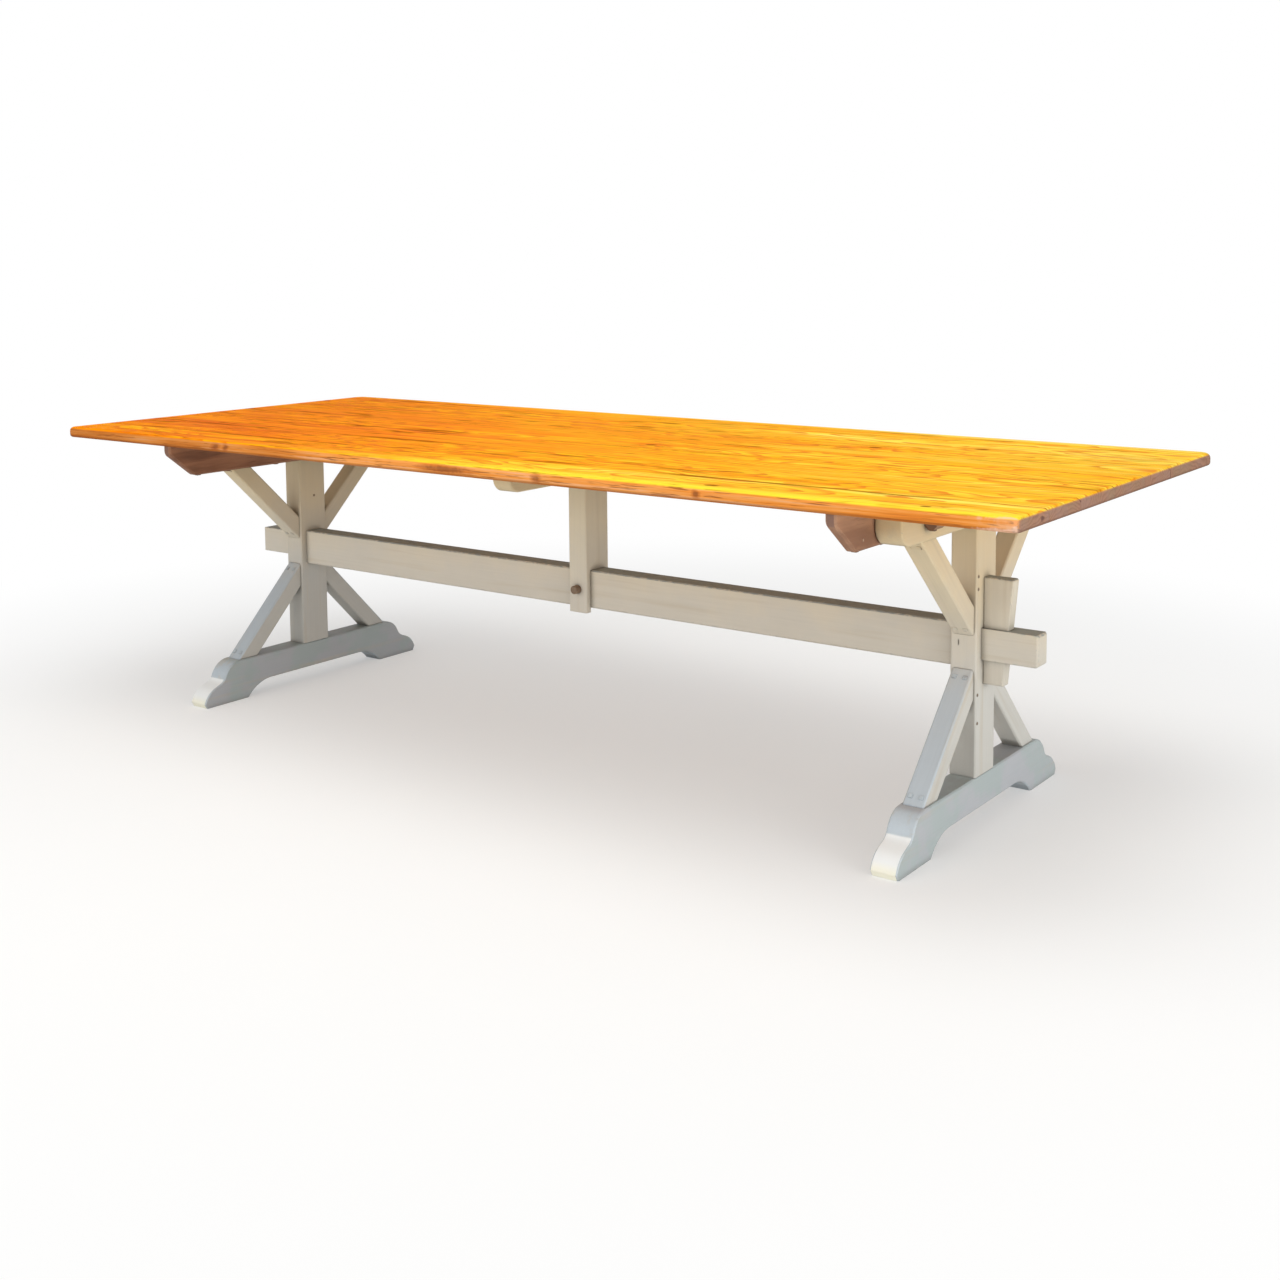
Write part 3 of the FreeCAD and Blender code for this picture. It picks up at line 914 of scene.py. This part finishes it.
@dataclass
class NailHead:
    """A hand-driven nail head, domed and a little uneven, flat on the face that it is driven into.

    Each ring of the dome is an inset, a lean to two sides and a rise, as shares of the radius and the rise.
    """

    radius: float = 0.0034
    rise: float = 0.0010
    sides: int = 14
    bed: float = 0.0006
    rim: float = 0.0003
    dome: tuple[tuple[float, float, float, float], ...] = ((0.30, 0.06, 0.03, 0.22), (0.34, 0.0, 0.0, 0.12))

    def model(self, name: str) -> bpy.types.Object:
        """Models one head at the origin, facing up.

        Args:
            name: Name of the piece.

        Returns:
            The piece.
        """
        bpy.ops.object.select_all(action="DESELECT")
        bpy.ops.mesh.primitive_cylinder_add(vertices=self.sides, radius=self.radius, depth=self.bed + self.rise,
                                            location=(0, 0, 0.5 * (self.rise - self.bed)))
        nail = bpy.context.object
        nail.name = name
        bpy.ops.object.transform_apply(location=True, rotation=True, scale=True)
        bpy.ops.object.mode_set(mode="EDIT")
        bpy.ops.mesh.select_mode(type="FACE")
        bpy.ops.mesh.select_all(action="DESELECT")
        bpy.ops.object.mode_set(mode="OBJECT")
        for face in nail.data.polygons:
            face.select = face.normal.z > 0.9
        bpy.ops.object.mode_set(mode="EDIT")
        for inset, lean_x, lean_y, rise in self.dome:
            bpy.ops.mesh.inset(thickness=inset * self.radius, depth=0.0)
            bpy.ops.transform.translate(value=(lean_x * self.radius, lean_y * self.radius, rise * self.rise))
        bpy.ops.object.mode_set(mode="OBJECT")
        bevel = nail.modifiers.new("rim", "BEVEL")
        bevel.width = self.rim
        bevel.segments = 2
        bevel.limit_method = "ANGLE"
        bpy.ops.object.modifier_apply(modifier="rim")
        bpy.ops.object.shade_smooth_by_angle(angle=math.radians(40))
        return nail

    @staticmethod
    def drive(first: bpy.types.Object, name: str, spot: Triple, body: str, slot: str,
              material: bpy.types.Material) -> None:
        """Copies the modelled head to a spot on a timber's right face.

        Args:
            first: The head that is copied.
            name: Name of the copy.
            spot: Where the head sits, on the timber's face.
            body: The body that the copy rides on.
            slot: Not used.
            material: The finish.
        """
        nail = first.copy()
        nail.data = first.data.copy()
        nail.name = name
        bpy.context.scene.collection.objects.link(nail)
        turn = UP.rotation_difference(OUTWARD).to_matrix().to_4x4()
        nail.data.transform(Matrix.Translation(spot) @ turn)
        nail.data.materials.clear()
        nail.data.materials.append(material)
        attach(nail, body)
        log.info("%s: %s", name, material.name)


@dataclass
class BoardedTop:
    """The loose top: six boards, their tongues and spikes, two battens and two stop blocks."""

    boards: tuple[VarnishedPine, ...] = (
        VarnishedPine(1.0, 0.02, 0.150, ring=0.0075, golden=0.05, front_edge=True,
                      knots=(Knot(0.712, -0.508, 0.012), Knot(1.180, -0.516, 0.008)),
                      streaks=(Streak(0.525, 1.170, -0.420), Streak(-0.9, -0.4, -0.424, 0.006)),
                      end_spots=(EndSpot(-0.446, 0.748, 0.010),),
                      edge_marks=(EdgeMark(-0.753, 0.008), EdgeMark(-0.716, 0.005), EdgeMark(0.030, 0.040),
                                  EdgeMark(0.292, 0.007), EdgeMark(0.700, 0.005))),
        VarnishedPine(14.0, 0.00, 0.190, golden=-0.03,
                      streaks=(Streak(-0.515, -0.260, -0.274, 0.010), Streak(-1.226, -0.861, -0.273, 0.009),
                               Streak(0.015, 0.262, -0.297, 0.012), Streak(0.525, 1.170, -0.412, 0.007))),
        VarnishedPine(27.0, 0.08, 0.070, ring=0.009, golden=-0.04, end_spots=(EndSpot(-0.266, 0.756, 0.006),),
                      streaks=(Streak(-0.553, -0.345, -0.098, 0.016), Streak(-0.515, -0.260, -0.262, 0.007))),
        VarnishedPine(41.0, -0.02, 0.170, golden=-0.02, knots=(Knot(0.216, -0.027, 0.011),),
                      streaks=(Streak(-0.553, -0.345, -0.074, 0.016),)),
        VarnishedPine(56.0, 0.09, 0.060, ring=0.0078, golden=0.04, knots=(Knot(0.691, 0.211, 0.012),)),
        VarnishedPine(72.0, -0.03, 0.140, ring=0.0095, golden=0.08, end_seam=0.85, back_edge=True,
                      knots=(Knot(0.915, 0.312, 0.013),)),
    )
    tongue: VarnishedPine = VarnishedPine(90.0, 0.0, 0.05)
    # The battens are one wood: the left one is darker as painted shade and the right one lighter as painted light.
    left_batten: BrownWood = BrownWood(5.0, brown=srgb(154, 108, 80), dark=srgb(112, 74, 54))
    right_batten: BrownWood = BrownWood(21.0, brown=srgb(181, 139, 109), dark=srgb(144, 106, 83),
                                        ends=srgb(124, 99, 92))
    front_block: BrownWood = BrownWood(33.0, brown=srgb(160, 124, 92), dark=srgb(114, 84, 62))
    back_block_seed: float = 47.0
    spike: CutIron = CutIron(2.0)
    nail_iron: CutIron = CutIron(8.0, iron=srgb(158, 130, 110), rust=srgb(176, 146, 122))
    nail_spot: Triple = (1.0075, -0.4315, 0.671)

    def finish(self) -> None:
        """Dresses the boards and all that is fixed under them."""
        for number, board in enumerate(self.boards, start=1):
            node = f"top_board_{number}"
            dress(node, board.make(f"varnished_pine_{number}", *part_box(node)))
        dress("board_tongues", self.tongue.make("tongue_pine", *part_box("board_tongues")))
        back_block = replace(self.front_block, seed=self.back_block_seed)
        woods = {"left_batten": self.left_batten, "stop_block_front": self.front_block,
                 "stop_block_back": back_block, "right_batten": self.right_batten}
        for node, wood in woods.items():
            dress(node, wood.make(f"brown_wood_{node}"))
        iron = self.spike.make("cut_spike_iron")
        dress("batten_spikes", iron)
        dress("block_spikes", iron)

    def nail(self, head: NailHead, first: bpy.types.Object) -> None:
        """Drives the one nail that shows in the right batten."""
        iron = self.nail_iron.make("batten_nail_iron")
        head.drive(first, "batten_nail", self.nail_spot, "top", "spike_iron", iron)


@dataclass
class Trestle:
    """One end of the table: foot, post, four braces, bearer and their nails."""

    side: Side
    seed: float
    nails: tuple[Triple, ...]
    splits: tuple[Split, ...] = ()
    painted_shade: float = 0.0
    low_front_grime_and_shade: float = 0.0
    nail_iron: Colour = srgb(122, 110, 96)
    nail_rust: Colour = srgb(146, 122, 98)

    def finish(self) -> None:
        """Dresses the trestle's timbers."""
        end = self.side.value
        paints = {
            "foot": WornPaint(Grain.DEPTH, self.seed, wear=0.45, grime_shade_share=0.4, ledge_dust_and_shade=0.36, sky_light=PaintedSkyLight.ALL_OVER,
                              sunlit_toes=True),
            "post": WornPaint(Grain.UPRIGHT, self.seed + 3, grime_shade_share=0.5, sky_light=PaintedSkyLight.UPWARD, splits=self.splits,
                              low_front_grime_and_shade=self.low_front_grime_and_shade),
            "bearer": WornPaint(Grain.DEPTH, self.seed + 6),
            "lower_brace_front": WornPaint(Grain.RISING, self.seed + 9, sky_light=PaintedSkyLight.UPWARD),
            "lower_brace_back": WornPaint(Grain.FALLING, self.seed + 12, sky_light=PaintedSkyLight.UPWARD),
            "upper_brace_front": WornPaint(Grain.FALLING, self.seed + 15),
            "upper_brace_back": WornPaint(Grain.RISING, self.seed + 18),
        }
        for piece, paint in paints.items():
            dress(f"{end}_{piece}", replace(paint, painted_shade=self.painted_shade).make(f"worn_paint_{end}_{piece}"))
        nails = CutIron(self.seed, painted=True, painted_shade=self.painted_shade)
        dress(f"{end}_brace_nails", nails.make(f"painted_nail_iron_{end}"))

    def nail(self, head: NailHead, first: bpy.types.Object) -> None:
        """Drives the nails that show in the post's right face.

        Args:
            head: The nail head.
            first: The modelled head that is copied.
        """
        end = self.side.value
        iron = CutIron(self.seed + 4, iron=self.nail_iron, rust=self.nail_rust).make(f"post_nail_iron_{end}")
        for number, spot in enumerate(self.nails, start=1):
            head.drive(first, f"{end}_post_nail_{number}", spot, "base", "painted_nails", iron)


@dataclass
class StretcherSet:
    """The stretcher between the trestles and the tusk wedge that draws it tight."""

    paint: WornPaint = WornPaint(Grain.LENGTH, 61.0, wear=0.5, bare_top=True)
    wedge_paint: WornPaint = WornPaint(Grain.UPRIGHT, 67.0, wear=0.4, grime_shade_share=0.35, bare_top=True,
                                       warm_bounce=srgb(221, 213, 194))

    def finish(self) -> None:
        """Dresses the stretcher and its wedge."""
        dress("stretcher", self.paint.make("worn_paint_stretcher"))
        dress("tusk_wedge", self.wedge_paint.make("worn_paint_wedge"))


@dataclass
class CentreSupport:
    """The forked post over the stretcher, its bearer and the peg through its fork."""

    post_paint: WornPaint = WornPaint(Grain.UPRIGHT, 73.0, warm_bounce=srgb(219, 209, 184), shade_under_top=srgb(214, 198, 164))
    bearer_paint: WornPaint = WornPaint(Grain.DEPTH, 79.0)
    peg_wood: BrownWood = BrownWood(83.0, brown=srgb(150, 128, 106), dark=srgb(104, 86, 70),
                                    light=srgb(182, 162, 138), ends=srgb(146, 126, 106))

    def finish(self) -> None:
        """Dresses the post, its bearer and the peg."""
        dress("centre_post", self.post_paint.make("worn_paint_centre_post"))
        dress("centre_bearer", self.bearer_paint.make("worn_paint_centre_bearer"))
        dress("centre_peg", self.peg_wood.make("peg_wood"))


def stand(data: Union[bpy.types.Camera, bpy.types.Light], spot: Triple, aim: Triple,
          roll: float = 0.0) -> bpy.types.Object:
    """Stands a camera or a lamp at a spot and aims it.

    Args:
        data: The camera or the lamp.
        spot: Where it stands.
        aim: The point that it faces.
        roll: How far it is rolled, in radians.

    Returns:
        The object.
    """
    obj = bpy.data.objects.new(data.name, data)
    bpy.context.scene.collection.objects.link(obj)
    turn = (Vector(aim) - Vector(spot)).to_track_quat("-Z", "Y").to_matrix() @ Matrix.Rotation(-roll, 3, "Z")
    obj.matrix_world = Matrix.Translation(spot) @ turn.to_4x4()
    return obj


@dataclass(frozen=True)
class Lamp:
    """A soft lamp: where it hangs, the point that it faces, its width and height in metres, its power and colour."""

    name: str
    spot: Triple
    aim: Triple
    size: tuple[float, float]
    watts: float
    tint: Triple

    def hang(self) -> None:
        """Hangs the lamp."""
        data = bpy.data.lights.new(self.name, "AREA")
        data.shape = "RECTANGLE"
        data.size, data.size_y = self.size
        data.energy = self.watts
        data.color = self.tint
        stand(data, self.spot, self.aim)
        log.info("lamp: %s", self.name)


@dataclass
class Studio:
    """A pale floor, soft lamps and a camera at the photograph's angle."""

    eye: Triple = (2.4574, -3.1126, 1.2188)
    aim: Triple = (0.1637, 0.0, 0.8653)
    roll: float = math.radians(0.468)
    lens: float = 45.04
    sensor: float = 36.0
    shift: float = -0.1875
    floor_half: float = 14.0
    floor_colour: Colour = srgb(246, 246, 245)
    sky: Colour = (0.97, 0.985, 1.0, 1.0)
    daylight: float = 0.60
    white: Colour = (1.0, 1.0, 1.0, 1.0)
    lamps: tuple[Lamp, ...] = (
        Lamp("key_lamp", (-1.2, -4.6, 1.7), (0.1, 0.0, 0.4), (3.0, 2.0), 46.0, (1.0, 0.985, 0.96)),
        Lamp("fill_lamp", (4.8, -1.1, 0.95), (0.8, 0.0, 0.45), (2.4, 1.5), 57.0, (1.0, 0.98, 0.95)),
        Lamp("top_lamp", (0.3, -0.6, 3.6), (0.0, 0.0, 0.7), (3.4, 2.2), 62.0, (1.0, 0.97, 0.92)),
    )

    def set_camera(self) -> None:
        """Stands the camera where the photograph was taken from."""
        data = bpy.data.cameras.new("camera")
        data.lens = self.lens
        data.sensor_width = self.sensor
        data.shift_y = self.shift
        bpy.context.scene.camera = stand(data, self.eye, self.aim, self.roll)
        log.info("camera")

    def lay_floor(self) -> None:
        """Lays a pale floor that turns to plain white away from the table."""
        bpy.ops.object.select_all(action="DESELECT")
        bpy.ops.mesh.primitive_plane_add(size=2 * self.floor_half, location=(0, 0, 0))
        floor = bpy.context.object
        floor.name = "floor"
        bench = ShaderBench("pale_floor")
        cloud = bench.noise(bench.place, (2.0, 2.0, 2.0), 1.0, 3.0)
        pale = bench.shade(self.floor_colour, 0.98 + 0.03 * cloud)
        bench.wire(bench.shader, {"Base Color": pale, "Roughness": 0.9, "Specular IOR Level": 0.0})
        white = bench.add("Emission", {"Color": self.white, "Strength": 1.0})
        away = bench.calc("SQRT", bench.x * bench.x + bench.y * bench.y)
        share = bench.seen() * (0.35 + 0.65 * away.step(1.2, 3.0))
        blend = bench.add("MixShader", {0: share, 1: bench.shader.outputs["BSDF"], 2: white.outputs[0]})
        bench.wire(bench.output, {"Surface": blend.outputs[0]})
        floor.data.materials.append(bench.material)
        log.info("floor")

    def light(self) -> None:
        """Lights the table evenly from all round, with three soft lamps, before plain white."""
        world = bpy.data.worlds.new("studio")
        bpy.context.scene.world = world
        world.use_nodes = True
        bench = NodeBench(world.node_tree)
        soft = bench.add("Background", {"Color": self.sky, "Strength": self.daylight})
        white = bench.add("Background", {"Color": self.white, "Strength": 1.0})
        blend = bench.add("MixShader", {0: bench.seen(), 1: soft.outputs[0], 2: white.outputs[0]})
        bench.add("OutputWorld", {"Surface": blend.outputs[0]})
        for lamp in self.lamps:
            lamp.hang()


def main() -> None:
    """Dresses the table piece by piece and sets up the studio."""
    logging.basicConfig(level=logging.INFO, format="%(name)s: %(message)s")
    studio = Studio()
    studio.set_camera()
    top = BoardedTop()
    # The left trestle gets painted shade.
    left = Trestle(Side.LEFT, 100.0, nails=((-1.0085, 0.005, 0.534),), painted_shade=0.18)
    right = Trestle(Side.RIGHT, 200.0,
                    nails=((1.0685, -0.0408, 0.541), (1.0685, -0.0408, 0.514),
                           (1.0685, -0.0408, 0.288), (1.0685, -0.0405, 0.227)),
                    splits=(Split(1.0275, -0.0475, 0.3976, 0.009),), low_front_grime_and_shade=0.28)
    for assembly in (top, left, right, StretcherSet(), CentreSupport()):
        assembly.finish()
    head = NailHead()
    first = head.model("nail_pattern")
    for assembly in (top, left, right):
        assembly.nail(head, first)
    bpy.data.objects.remove(first)
    studio.lay_floor()
    studio.light()
    bpy.context.scene.view_settings.view_transform = "Standard"


if __name__ == "__main__":
    main()
